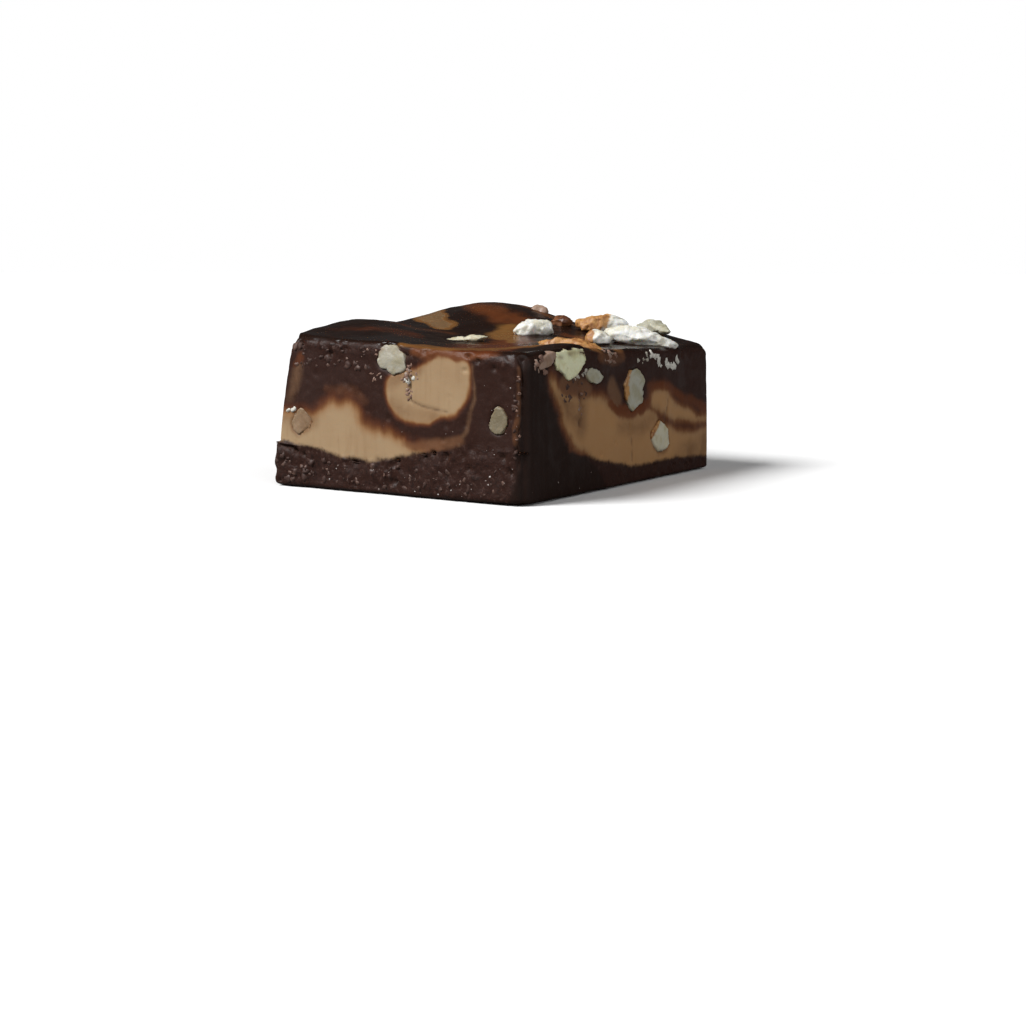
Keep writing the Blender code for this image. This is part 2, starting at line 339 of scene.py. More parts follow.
def rough_pecan(name):
    """The solid's mesh with finer broken faces. A face that the knife cut stays flat."""
    bm = bmesh.new()
    bm.from_mesh(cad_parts[name].data)
    bmesh.ops.remove_doubles(bm, verts=bm.verts[:], dist=1e-6)
    bmesh.ops.dissolve_limit(bm, angle_limit=math.radians(2), verts=bm.verts[:], edges=bm.edges[:])
    bmesh.ops.triangulate(bm, faces=bm.faces[:])
    for _ in range(3):
        long_edges = [edge for edge in bm.edges if edge.calc_length() > FACET]
        bmesh.ops.subdivide_edges(bm, edges=long_edges, cuts=1, use_grid_fill=False)
        bmesh.ops.triangulate(bm, faces=bm.faces[:])
    side = name.split("_")[1]
    low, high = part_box(name)
    middle = (low + high) / 2
    cut = set()
    if side in NUT_SIDE_WALLS:
        axis, towards = NUT_SIDE_WALLS[side]
        bm.normal_update()
        cut = {vert for vert in bm.verts if vert.normal[axis] * towards > 0.93}
    free = [vert for vert in bm.verts if vert not in cut]
    bmesh.ops.smooth_vert(bm, verts=free, factor=0.5, use_axis_x=True, use_axis_y=True, use_axis_z=True)
    bm.normal_update()
    seed = Vector((rng.uniform(0, 50), rng.uniform(0, 50), rng.uniform(0, 50)))
    for vert in bm.verts:
        spot = vert.co / MM
        lumps = 0.55 * abs(noise.noise(spot / 2.4 + seed)) - 0.12 + 0.10 * noise.noise(spot / 0.6 + seed)
        broken = noise.cell(spot / 1.7 + seed) - 0.5
        chips = 0.16 * broken - 0.6 * max(0.0, noise.noise(spot / 1.5 + seed * 2) - 0.25)
        depth = (lumps + chips) * (0.25 if vert in cut else 1.0)
        vert.co += vert.normal * depth * MM
        in_box(vert.co)
    return bm, middle, (high - low)


def skin_values(bm, middle, size, facing, share):
    """How far each point is on the nut's skinned side, from -1 to 1, moved by the skin's share."""
    facing = Vector(facing).normalized()
    values = []
    for vert in bm.verts:
        offset = vert.co - middle
        along = sum(facing[axis] * offset[axis] / (size[axis] / 2) for axis in range(3))
        values.append(along + share)
    return values


pecans = {}
for name, (kind, facing, share) in PECAN_LOOKS.items():
    bm, middle, size = rough_pecan(name)
    skin = skin_values(bm, middle, size, facing, share)
    pecan_trees.append((BVHTree.FromBMesh(bm), *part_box(name)))
    pecans[name] = add_piece(name + "_broken", bm, flesh_materials[kind], "pecan_flesh", name)
    point_attribute(pecans[name].data, "skin", skin)
    pecans[name].data.shade_smooth()

# ---------------------------------------------------------------------------------------------
# The fudge: sugar, butter, cream and chocolate. A chocolate layer is cast, chocolate and caramel
# fudge are swirled together on it by hand, and the set slab is cut with a knife. Both layers are
# gridded blocks in the shape of their solids, and their skins meet at the seam.

FUDGE_LOW, FUDGE_HIGH = cad_bounds
# Four values belong to the corners, and a swell or a sag has its x, y, radius and height.
WIDTH = 54.3 * MM
DEPTH = 66.7 * MM
ROUND_THE_PIECE = 2 * (WIDTH + DEPTH) / MM
CORNERS = ((-1, -1), (1, -1), (1, 1), (-1, 1))
TOP_HEIGHTS = (27.2 * MM, 25.4 * MM, 24.0 * MM, 28.4 * MM)
SEAM_HEIGHTS = (8.0 * MM, 9.0 * MM, 2.2 * MM, 6.0 * MM)
FOOT_CORNERS = (1.4 * MM, 4.0 * MM, 1.2 * MM, 3.0 * MM)
CROWN_CORNERS = (5.0 * MM, 3.8 * MM, 2.4 * MM, 4.0 * MM)
EDGE_ROUNDING = 1.5 * MM
FOOT_ROUNDING = 0.8 * MM
LEAN = 2.2 * MM
LEDGE = 0.9 * MM
SWELLS = (
    (-14 * MM, 22 * MM, 14 * MM, 4.8 * MM),
    (-23 * MM, -14 * MM, 13 * MM, 2.2 * MM),
    (-21 * MM, 11 * MM, 9 * MM, 0.9 * MM),
    (14 * MM, 27 * MM, 9 * MM, 2.0 * MM),
    (-3 * MM, -8 * MM, 12 * MM, -0.8 * MM),
    (17 * MM, -27 * MM, 6 * MM, -0.5 * MM),
    (24 * MM, -17 * MM, 6 * MM, 1.2 * MM),
)
SAGS = (
    (-6 * MM, -32 * MM, 12 * MM, -3.0 * MM),
    (25 * MM, 2 * MM, 14 * MM, -2.2 * MM),
    (-6 * MM, 14 * MM, 14 * MM, 1.8 * MM),
)
SKIN_SETBACK = 0.18 * MM  # how far the skins lie inside the solids, which leaves room for relief
CRUMBLY_PIT = 0.85  # millimetres deep, where the chocolate is crumbly
BUBBLE = 0.30  # millimetres deep, anywhere on the cuts
NUT_SOCKET = 0.55  # millimetres that the skin sinks to let a nut through
NUT_RIDGE = 0.22  # millimetres that the top creeps up round a nut
SEAM_GAP = 0.15 * MM  # how far each skin stops short of the other inside, where they don't show
PLAN_SPANS = (128, 158)
BASE_SPANS = 16
MARBLED_SPANS = 54


def across(values, s, t):
    """A value in the plan, from its values at the four corners. s and t run from -1 to 1."""
    shares = [(1 + s * cs) * (1 + t * ct) / 4 for cs, ct in CORNERS]
    return sum(share * value for share, value in zip(shares, values))


def swell(bumps, x, y):
    total = 0.0
    for cx, cy, radius, height in bumps:
        total += height * math.exp(-((x - cx) ** 2 + (y - cy) ** 2) / radius**2)
    return total


def top_height(s, t):
    x, y = s * WIDTH / 2, t * DEPTH / 2
    ripple = 0.35 * MM * noise.noise(Vector((x, y, 0)) / (13 * MM))
    return across(TOP_HEIGHTS, s, t) + swell(SWELLS, x, y) + ripple


def seam_height(s, t):
    return across(SEAM_HEIGHTS, s, t) + swell(SAGS, s * WIDTH / 2, t * DEPTH / 2)


def fudge_point(s, t, z, top):
    """Where a point of the square prism goes in the rounded block, and which way is outwards."""
    rise = min(max(z / top, 0.0), 1.0)
    corner = across(FOOT_CORNERS, s, t)
    corner += (across(CROWN_CORNERS, s, t) - corner) * rise**3
    radius = EDGE_ROUNDING + (corner - EDGE_ROUNDING) * abs(s * t) ** 6
    x, y = s * WIDTH / 2, t * DEPTH / 2
    core = Vector((
        min(max(x, radius - WIDTH / 2), WIDTH / 2 - radius),
        min(max(y, radius - DEPTH / 2), DEPTH / 2 - radius),
        min(max(z, FOOT_ROUNDING), top - radius),
    ))
    upright = FOOT_ROUNDING if z < core.z else radius
    outward = Vector(((x - core.x) / radius, (y - core.y) / radius, (z - core.z) / upright))
    if outward.length > 1:
        outward.normalize()
    point = core + Vector((outward.x * radius, outward.y * radius, outward.z * upright))
    left, front = (1 - s) / 2, (1 - t) / 2
    point.x += LEAN * rise**1.6 * left**2 * (0.3 + 0.7 * front)
    point.y += 0.4 * LEAN * rise**2 * left * front**2
    along = Vector((x, y, z * 0.6)) / (9 * MM)
    point.x += 0.35 * MM * s**3 * noise.noise(along)
    point.y += 0.35 * MM * t**3 * noise.noise(along + Vector((7, 3, 5)))
    return point, outward


def place_round(s, t):
    """How far round the piece a point is, in millimetres from the front left corner."""
    wide, deep = WIDTH / MM, DEPTH / MM
    to_side = (1 - abs(s)) * wide
    to_front = (1 - abs(t)) * deep
    if to_front <= to_side:
        if t < 0:
            return (s + 1) / 2 * wide
        return wide + deep + (1 - s) / 2 * wide
    if s > 0:
        return wide + (t + 1) / 2 * deep
    return 2 * wide + deep + (1 - t) / 2 * deep


# The marbling, as the cut sides show it. A place is how far it is round the piece from the front
# left corner, then its height, in millimetres. A lobe of caramel is a closed outline, with how far
# its colour bleeds into the chocolate.
CARAMEL_LOBES = (
    # front, low: the broad pale band, which comes round the left corner and thins out rightwards
    (2.0, ((-10, 9.2), (-6, 12.2), (0, 13.4), (5.2, 13.3), (8.5, 13.2), (10.5, 14.2), (12.6, 15.3),
           (16, 15.5), (18.6, 14.7), (19.8, 12.8), (22, 11.5), (25.6, 10.7), (28.2, 9.6), (30.2, 8.7),
           (33, 8.2), (37, 8.1), (36.5, 7.2), (31.6, 6.0), (27, 4.8), (22, 4.2), (17, 4.6), (10, 5.6),
           (4, 6.6), (-3, 7.2))),
    # front, high: the pale lobe that the swirl curls under
    (0.8, ((25.7, 20.2), (25.4, 17.2), (26.6, 15), (28.6, 13.6), (31.1, 12.9), (35, 13.1),
           (37.8, 14.1), (40.2, 14.6), (42, 16.4), (42.9, 19), (43.2, 22.4), (41.3, 23.8), (37, 24.1),
           (33.5, 23.1), (31.5, 21.8), (29, 21.2))),
    # right: the long band that runs on round the back
    (2.2, ((62.6, 20.6), (64.4, 17.4), (66.1, 15.2), (66.5, 13.2), (67.9, 11.8), (69.6, 10.4),
           (70.6, 8.8), (73, 8.0), (75.4, 6.8), (77.4, 5.2), (82, 3.8), (88, 2.6), (98, 1.6),
           (108, 1.2), (119, 1.4), (130, 2.6), (144, 4.6), (150, 7.6), (151, 10.6), (147, 12.6),
           (140, 11.8), (133, 10), (126, 9), (121, 8.2), (117, 7.5), (112, 7.8), (107, 8.7),
           (103, 9.8), (100, 11.5), (97.6, 13), (94.5, 12.6), (91, 11.9), (88, 12.2), (85, 13.2),
           (82.5, 14.8), (79.5, 16.6), (75.5, 17), (72.5, 17.0), (69.5, 17.0), (66.8, 18.2))),
    (2.2, ((97.4, 14), (98.2, 16.6), (101.5, 16.5), (105, 15), (109, 13.2), (114, 11.4), (118, 10.4),
           (123, 10.2), (122, 9.4), (116, 9.7), (111, 10.2), (107, 10.6), (104.5, 11.6), (101, 12.6))),
    # back
    (1.3, ((158, 12.2), (163, 10), (169, 9.6), (174, 11), (178, 13), (181, 15.6), (179, 18.2),
           (174, 18.8), (168, 18), (163, 15.6))),
    (0.9, ((128, 17.2), (134, 16), (141, 17.2), (148, 19.4), (152, 22), (146, 22.4), (138, 20.6),
           (131, 19.4))),
    # left
    (1.5, ((182, 5.2), (190, 4.4), (198, 4.8), (205, 5.6), (212, 6.4), (218, 7.2), (222, 8.8),
           (219, 10.8), (213, 12.2), (207, 12), (201, 13.6), (195, 15), (190, 13.6), (185, 9.6))),
    (0.9, ((213, 17.2), (218, 15.4), (224, 15.8), (228, 17.6), (229.4, 20.4), (226, 22.2),
           (220, 22.4), (215, 20.6))),
    (0.8, ((187, 20.4), (192, 19.4), (198, 20.2), (203, 22), (199, 23.4), (192, 23))),
)
# Thin stirred-in streaks and stains, half-way between the two: a strength, how red it is, how soft
# its edge is, then places with half its thickness.
STREAKS = (
    (0.80, 0.5, 1.3, ((29.4, 8.7, 0.3), (33, 9.0, 0.5), (38, 9.5, 0.6), (41.2, 10.4, 0.5))),
    (0.70, 0.2, 0.8, ((40.8, 9.6, 0.3), (42.4, 12, 0.2), (43.7, 15.6, 0.1), (44.1, 18.5, 0.05),
                      (43.9, 22.6, 0.05))),
    (0.60, 0.2, 2.2, ((3.2, 16.6, 0.3), (4.2, 19.4, 0.5), (4.6, 21.4, 0.3))),
    (0.6, 1.0, 1.2, ((5, 23.2, 0.6), (4, 22, 0.4))),
    # A pale reddish line down the crease of the near corner: the crumbly edge, with a painted highlight on it
    (0.75, 0.6, 0.9, ((52.5, 10.5, 0.1), (52.6, 12.6, 0.4), (52.9, 15, 0.35), (53.5, 19, 0.05),
                      (53.0, 23, 0.05))),
    (1.0, 0.9, 1.2, ((31.2, 25.0, 0.3), (35.5, 24.6, 0.9), (40, 24.5, 1.1), (44, 25.0, 0.9),
                     (50, 26.0, 0.3))),
    (0.45, 0.8, 1.4, ((21, 16, 0.4), (19, 17.5, 0.5), (12, 18, 0.4))),
    (0.7, 0.4, 1.4, ((66.6, 19.2, 0.9), (70, 18.8, 1.4), (74, 18.2, 1.2))),
    (0.8, 0.3, 1.5, ((82.6, 18.4, 1.2), (84.6, 15.8, 1.2))),
    (0.8, 1.0, 1.2, ((82.6, 15.6, 0.4), (86, 13.4, 0.9), (92, 13.2, 0.9), (97, 14.6, 0.6))),
    (0.7, 1.0, 1.2, ((96.6, 17.6, 0.6), (104, 17.0, 0.4), (111, 14.6, 0.5), (120, 12, 0.6))),
    (0.65, 0.6, 1.2, ((79, 23.8, 0.8), (82.6, 22.8, 1.0), (86.6, 23.4, 0.6))),
    (0.5, 0.8, 1.0, ((73, 7.4, 0.3), (69.6, 8.6, 0.6))),
    (0.7, 1.0, 1.2, ((152, 8.6, 0.6), (156, 13, 0.8), (152, 17, 0.4))),
    (0.6, 0.8, 1.2, ((184, 17, 0.6), (196, 17.6, 0.5), (208, 15.4, 0.6), (222, 12.4, 0.5))),
)
# Caramel that shows through the glossy top, and the amber and red-brown flows between: a strength,
# how red, how soft, then x, y and half the width. A strength over 1 is caramel.
TOP_FLOWS = (
    (1.9, 0.3, 1.6, ((-27, 12.4, 1.6), (-22, 8.6, 2.8), (-17, 4.6, 2.6), (-14.4, 1.2, 0.8))),
    (1.05, 0.2, 3.0, ((-6, 10, 0.8), (-2, 6, 2.2), (3, 0, 1.4), (6, -5, 0.4))),
    (0.95, 1.0, 4.5, ((2, 2, 1.5), (7, -8, 3.5), (11, -18, 4.5), (14, -31, 5.5))),
    (1.15, 0.4, 2.4, ((6, -34, 3.2), (11, -28, 2.6), (16, -22, 1.4), (22, -15, 0.8), (27, -10, 0.4))),
    (0.85, 0.9, 3.0, ((-22, 20, 0.6), (-15, 17, 1.6), (-9, 13, 2.2), (-4, 15, 1.4))),
    (0.80, 0.7, 2.6, ((-16, 27, 0.6), (-9, 23, 1.0), (-2, 25, 1.4), (5, 23, 1.0))),
    (0.90, 0.5, 2.4, ((12, 3, 0.6), (17, 0, 1.4), (23, -3, 1.0), (27, -2, 0.6))),
    (0.80, 0.9, 2.6, ((6, 14, 0.8), (12, 13, 1.2), (16, 10, 0.8))),
    (1.5, 0.4, 1.8, ((2, 31, 0.8), (9, 30, 1.8), (14, 32, 1.0))),
    (1.3, 0.4, 1.8, ((-20, 26, 0.8), (-15, 31, 1.4))),
    (0.50, 1.0, 3.4, ((-20, -22, 0.5), (-12, -17, 1.2), (-6, -19, 0.8))),
    (0.50, 0.9, 2.8, ((-24, -8, 0.5), (-16, -7, 1.0), (-10, -2, 0.8))),
)
# Where the caramel itself is browner: the same terms as the streaks
TAN_CLOUDS = (
    (0.75, 0.0, 4.0, ((110, 4, 0.3), (116, 4, 1.5), (122, 6, 2.0), (128, 8, 1.0))),
    (0.90, 0.0, 3.0, ((65, 16, 0.8), (71, 15.5, 1.6), (72.4, 12, 0.5))),
    (0.60, 0.0, 1.8, ((27.0, 16.0, 0.3), (30, 14.4, 0.5), (36, 14.2, 0.4))),
    (0.60, 0.0, 1.8, ((26.4, 19.4, 0.3), (29, 20.8, 0.6), (32, 22, 0.4))),
    (0.55, 0.0, 2.0, ((0, 12.6, 0.3), (6, 11.6, 1.0), (9, 12, 0.4))),
    (0.60, 0.0, 2.4, ((86, 11, 0.3), (93, 10.4, 0.6), (99, 12, 0.8))),
    (0.50, 0.0, 2.4, ((140, 8, 0.8), (148, 10, 0.8))),
    (0.50, 0.0, 2.4, ((196, 12, 0.8), (206, 9, 0.8))),
)
# Grooves where crumbs tore or the layers part, also darkened in colour as painted shade: width, depth, then
# places.
GROOVES = (
    (0.38, 0.45, ((31.9, 23.5), (30.9, 20), (30.5, 16.8))),
    (0.20, 0.10, ((30.5, 16.8), (33.4, 15.8), (38.7, 15.0))),
    (0.30, 0.22, ((43.7, 23.5), (43.8, 17.4), (42.8, 12))),
    (0.40, 0.42, ((52.9, 6), (52.9, 10), (53.3, 14), (53.9, 18), (54.2, 20.6), (53.2, 24.4))),
    (0.42, 1.10, ((1.6, 7.5), (4.2, 7.0), (7.0, 6.1))),
    (0.35, 0.40, ((61.8, 21.8), (64.0, 17.4), (66.0, 14))),
    (0.42, 0.50, ((71.6, 19.4), (72.4, 16), (72.0, 12.4))),
    (0.24, 0.22, ((90.2, 8.2), (90.6, 4.4))),
    (0.34, 0.32, ((103.9, 15.4), (103.4, 9.6))),
    (0.36, 0.35, ((138, 22), (140, 17), (139, 11))),
    (0.36, 0.40, ((208, 24), (207, 18), (209, 13))),
)
# The strip that the knife smeared smooth over the near corner; its chocolate is also painted darker, as
# painted shade on a corner that faces away from the light.
SMEARED_AND_SHADED_STRIP = ((52.9, -2), (52.6, 6), (52.6, 10), (53.3, 14), (53.9, 18), (54.2, 20.6), (53.4, 25),
         (57, 28), (61.0, 25), (62.0, 21.4), (64.2, 17.2), (66.0, 14), (67.6, 11.4), (70, 8.4),
         (74, 6.4), (78, 4.0), (80, -2))


def rounded_outline(points, steps=5):
    """A closed outline as a smooth curve through its points."""
    count = len(points)
    curve = []
    for index in range(count):
        before, start, end, after = (Vector(points[(index + step) % count]) for step in (-1, 0, 1, 2))
        for part in range(steps):
            t = part / steps
            curve.append(0.5 * (
                2 * start + (end - before) * t + (2 * before - 5 * start + 4 * end - after) * t**2
                + (3 * start - before - 3 * end + after) * t**3
            ))
    return curve


def outline_distance(outline, a, b):
    """Distance from each point (a, b) to a closed outline, negative inside it."""
    nearest = np.full(len(a), 99.0)
    inside = np.zeros(len(a), bool)
    for (a0, b0), (a1, b1) in zip(outline, outline[1:] + outline[:1]):
        da, db = a1 - a0, b1 - b0
        share = np.clip(((a - a0) * da + (b - b0) * db) / max(da * da + db * db, 1e-9), 0, 1)
        nearest = np.minimum(nearest, np.hypot(a - a0 - share * da, b - b0 - share * db))
        crossed = (b0 > b) != (b1 > b)
        if b1 != b0:
            inside ^= crossed & (a < a0 + (b - b0) / (b1 - b0) * da)
    return np.where(inside, -nearest, nearest)


def ribbon_distance(points, a, b):
    """Distance from each point (a, b) to a ribbon of changing thickness, negative inside it."""
    nearest = np.full(len(a), 99.0)
    for (a0, b0, r0), (a1, b1, r1) in zip(points, points[1:]):
        da, db = a1 - a0, b1 - b0
        share = np.clip(((a - a0) * da + (b - b0) * db) / (da * da + db * db), 0, 1)
        gap = np.hypot(a - a0 - share * da, b - b0 - share * db) - (r0 + (r1 - r0) * share)
        nearest = np.minimum(nearest, gap)
    return nearest


def round_turns(place):
    """The places as they are, and a whole turn further each way, so that nothing stops at a corner."""
    return (place - ROUND_THE_PIECE, place, place + ROUND_THE_PIECE)


def lobe_distance(place, height):
    """How far outside the nearest caramel lobe, in units of its own bleed."""
    nearest = np.full(len(place), 9.0)
    for bleed, points in CARAMEL_LOBES:
        outline = rounded_outline(points)
        for turned in round_turns(place):
            nearest = np.minimum(nearest, outline_distance(outline, turned, height) / bleed)
    return nearest


def flows(ribbons, places, height):
    """The strength of the strongest streak at each point, and how red it is."""
    strength = np.zeros(len(height))
    red = np.zeros(len(height))
    for most, redness, softness, points in ribbons:
        for place in places:
            gap = ribbon_distance(points, place, height)
            here = most * (1 - smooth_step(-0.2 * softness, softness, gap))
            red = np.where(here > strength, redness, red)
            strength = np.maximum(strength, here)
    return strength, red


def noises(points, length, shift=0.0, stretch=(1, 1, 1)):
    """Smooth noise from -1 to 1 at each point, for features of this length in millimetres."""
    away = Vector((shift, shift * 1.7, shift * 0.6))
    scaled = points / MM / length * np.array(stretch)
    return np.array([noise.noise(Vector(spot) + away) for spot in scaled])


def pits(points, spacing, size, shift):
    """Small holes scattered over the points: 1 at the middle of each, 0 between them."""
    away = Vector((shift, -shift, shift * 0.4))
    scaled = points / MM / spacing
    gaps = np.array([noise.voronoi(Vector(spot) + away)[0][0] for spot in scaled])
    return 1 - smooth_step(size * 0.35, size, gaps)


def nut_distances(points):
    """Distance from each point to the nearest pecan, negative inside it, in millimetres."""
    nearest = np.full(len(points), 3.0)
    for tree, low, high in pecan_trees:
        margin = 2.0 * MM
        inside = np.all((points > np.array(low) - margin) & (points < np.array(high) + margin), axis=1)
        for index in np.nonzero(inside)[0]:
            spot = Vector(points[index])
            distance = tree.find_nearest(spot)[3] / MM
            buried = tree.ray_cast(spot, spot - (low + high) / 2)[0] is not None
            nearest[index] = min(nearest[index], -distance if buried else distance)
    return nearest


def fudge_skin(name, spans_up, low, high, upper, finish, slot):
    """One layer as a gridded, relieved skin with its marbling in point attributes."""
    bm = bmesh.new()
    bmesh.ops.create_cube(bm, size=2.0)
    for axis, spans in enumerate((*PLAN_SPANS, spans_up)):
        along = [
            edge for edge in bm.edges
            if abs(edge.verts[0].co[axis] - edge.verts[1].co[axis]) > 1.0
        ]
        bmesh.ops.subdivide_edges(bm, edges=along, cuts=spans - 1, use_grid_fill=True)
    count = len(bm.verts)
    points = np.zeros((count, 3))
    outwards = np.zeros((count, 3))
    places = np.zeros(count)
    seams = np.zeros(count)
    tops = np.zeros(count)
    caps = np.zeros(count, bool)
    for index, vert in enumerate(bm.verts):
        s, t, rise = vert.co.x, vert.co.y, (vert.co.z + 1) / 2
        bottom, crest, top = low(s, t), high(s, t), top_height(s, t)
        z = bottom + rise * (crest - bottom)
        point, outward = fudge_point(s, t, z, top)
        on_seam = rise < 1e-6 if upper else rise > 1 - 1e-6
        caps[index] = on_seam and max(abs(s), abs(t)) < 0.9999
        if caps[index]:
            outward = Vector((0, 0, 0))
        points[index] = point
        outwards[index] = outward
        places[index] = place_round(s, t)
        seams[index] = seam_height(s, t)
        tops[index] = top
    heights = points[:, 2] / MM
    above_seam = (points[:, 2] - seams) / MM
    below_top = (tops - points[:, 2]) / MM

    points[caps, 2] += SEAM_GAP if upper else -SEAM_GAP

    # The ledge: the caramel steps back over the chocolate layer at the front left corner.
    left_corner = 1 - smooth_step(0.0, 9.0, np.minimum(places, ROUND_THE_PIECE - places))
    step = left_corner * smooth_step(-0.1, 0.4, above_seam) * LEDGE
    points -= outwards * step[:, None] * np.array([1, 0.5, 0])
    points -= outwards * SKIN_SETBACK

    # The marbling, warped so that no edge is a clean arc, with fingers drawn down by the knife.
    on_top = smooth_step(0.45, 0.85, outwards[:, 2])
    warp = 0.45 * noises(points, 4.0, 3.0) + 0.22 * noises(points, 1.5, 9.0)
    warp_up = 0.35 * noises(points, 3.2, 17.0) + 0.15 * noises(points, 1.3, 21.0)
    fingers = noises(points, 2.6, 25.0, (1, 1, 0.16)) + 0.4 * noises(points, 1.1, 27.0, (1, 1, 0.16))
    lobes = lobe_distance(places + warp, heights + warp_up + 0.45 * fingers)
    under = smooth_step(-1.2, 0.3, 0.35 * noises(points, 2.4, 30.0) - above_seam)
    side_glow, side_red = flows(STREAKS, round_turns(places + warp), heights + warp_up)
    side_glow = side_glow * smooth_step(-0.2, 0.5, above_seam)
    flat_x, flat_y = points[:, 0] / MM, points[:, 1] / MM
    sway, sway_across = noises(points, 11.0, 90.0), noises(points, 11.0, 95.0)
    flat_x, flat_y = flat_x + 2.0 * warp + 3.5 * sway, flat_y + 3.0 * warp_up + 3.5 * sway_across
    top_glow, top_red = flows(TOP_FLOWS, [flat_x], flat_y)
    tan, _ = flows(TAN_CLOUDS, round_turns(places + warp), heights + warp_up)
    glow = side_glow * (1 - on_top) + np.minimum(top_glow, 1) * on_top
    red = side_red * (1 - on_top) + top_red * on_top
    swirl = lobes * (1 - on_top) + (2.2 - 2.9 * np.clip(top_glow - 1, 0, 1)) * on_top
    # The smeared strip: smoother in relief, and painted shade in the colour
    smear_and_shade = 1 - smooth_step(-0.5, 0.7, outline_distance(rounded_outline(SMEARED_AND_SHADED_STRIP), places, heights))
    smear_and_shade *= 1 - on_top
    groove_shade = np.zeros(count)
    cut = np.zeros(count)
    torn = smooth_step(-0.45, 0.25, noises(points, 1.6, 33.0))
    for width, depth, line in GROOVES:
        points_in_line = tuple((*spot, 0.0) for spot in line)
        for turned in round_turns(places + 0.9 * warp):
            near = np.exp(-((ribbon_distance(points_in_line, turned, heights) / width) ** 2)) * torn
            groove_shade = np.maximum(groove_shade, near)
            cut = np.maximum(cut, near * depth)

    # Relief: crumbly chocolate with pits, smooth caramel, a glossy top, sunk places for the nuts.
    right = smooth_step(53, 57, places) * (1 - smooth_step(121, 124, places))
    chocolate = np.maximum(smooth_step(0.1, 1.1, swirl), under) * (1 - on_top)
    crumbly = chocolate * 0.25
    crumbly = np.maximum(crumbly, chocolate * (1 - smooth_step(0.0, 2.0, above_seam)))
    crumbly = np.maximum(crumbly, chocolate * (1 - smooth_step(1.5, 4.5, below_top)))
    crumbly *= (1 - 0.9 * smear_and_shade) * (1 - 0.6 * right)
    foot = 1 - smooth_step(0.0, 1.0, heights)
    relief = 0.10 * noises(points, 2.6, 50.0) + 0.05 * noises(points, 0.9, 55.0)
    relief = relief * (0.35 + 0.9 * crumbly)
    relief += crumbly * (0.22 * noises(points, 1.25, 60.0) + 0.22 * noises(points, 3.0, 80.0))
    hollow = pits(points, 2.1, 0.40, 5.0) * smooth_step(-0.1, 0.3, noises(points, 5.0, 85.0))
    relief -= crumbly * CRUMBLY_PIT * hollow
    relief -= (1 - on_top) * (1 - smear_and_shade) * BUBBLE * pits(points, 4.4, 0.12, 11.0)
    relief += smear_and_shade * 0.10 * noises(points, 1.1, 65.0, (1, 1, 0.1))
    relief += on_top * (0.16 * noises(points, 5.0, 70.0) + 0.10 * noises(points, 1.8, 75.0, (1.0, 0.4, 1)))
    gap = nut_distances(points)
    relief -= NUT_SOCKET * (1 - smooth_step(-0.25, 0.35, gap))
    relief += on_top * NUT_RIDGE * (1 - smooth_step(0.2, 1.2, gap)) * smooth_step(-0.1, 0.3, gap)
    relief -= cut * (1 - on_top)
    relief *= 1 - 0.9 * foot
    points += outwards * (relief * MM)[:, None]

    points = np.clip(points, np.array(FUDGE_LOW), np.array(FUDGE_HIGH))
    for vert, spot in zip(bm.verts, points):
        vert.co = spot
    bm.normal_update()
    for face in bm.faces:
        face.smooth = True
    for edge in bm.edges:
        edge.smooth = edge.calc_face_angle(0) < math.radians(60)
    piece = add_piece(name, bm, finish, slot, "marbled_fudge" if upper else "chocolate_base")
    values = {
        "swirl": np.clip(swirl, -3, 3),
        "under": under * (1 - on_top),
        "glow": glow,
        "red": red,
        "tan": tan,
        "smear_and_shade": smear_and_shade,
        # Painted shade mask: the grooves and the crumbly pits, darkened in the colour
        "groove_shade": np.maximum(groove_shade, crumbly * hollow),
        "on_top": on_top,
        "crumbly": crumbly,
        "nut_gap": np.clip(gap, -1, 3),
        "right": right,
    }
    for label, numbers in values.items():
        point_attribute(piece.data, label, numbers)
    return piece


CARAMEL = (0.375, 0.258, 0.148)
WARM_CARAMEL = (0.300, 0.160, 0.070)
ORANGE_BROWN = (0.155, 0.055, 0.018)
RED_BROWN = (0.080, 0.024, 0.011)
CHOCOLATE = (0.030, 0.0112, 0.0074)
# The top's deeper chocolate, and painted shade on the smeared near corner
DEEP_TOP_CHOCOLATE_AND_CORNER_SHADE = (0.0135, 0.0058, 0.0036)
RIGHT_CARAMEL = (0.400, 0.212, 0.088)
CLOUDED_CARAMEL = (0.310, 0.190, 0.098)
SCRATCHED_CARAMEL = (0.275, 0.165, 0.085)
TANNED_CARAMEL = (0.190, 0.098, 0.045)
GLAZED_CARAMEL = (0.150, 0.085, 0.038)
DARK_CRUMB = (0.016, 0.007, 0.005)
PALE_CRUMB = (0.105, 0.060, 0.048)
CUT_STREAKS = ((0.190, 0.108, 0.058), (0.135, 0.038, 0.011))
TOP_STREAKS = ((0.200, 0.095, 0.025), (0.098, 0.024, 0.007))
# Painted shade on the caramel in a ring round each nut
NUT_RIM_SHADE = (0.165, 0.078, 0.034)
# Painted shade in the grooves and pits
PAINTED_GROOVE_SHADE = (0.05, 0.022, 0.014)


def colour_ramp(nodes, links, value, stops, interpolation="LINEAR"):
    """A ramp with its stops as places and colours."""
    made = nodes.new("ShaderNodeValToRGB")
    made.color_ramp.interpolation = interpolation
    while len(made.color_ramp.elements) < len(stops):
        made.color_ramp.elements.new(0.5)
    for element, (where, colour) in zip(made.color_ramp.elements, stops):
        element.position = where
        element.color = (*colour, 1)
    links.new(value, made.inputs["Fac"])
    return made.outputs["Color"]


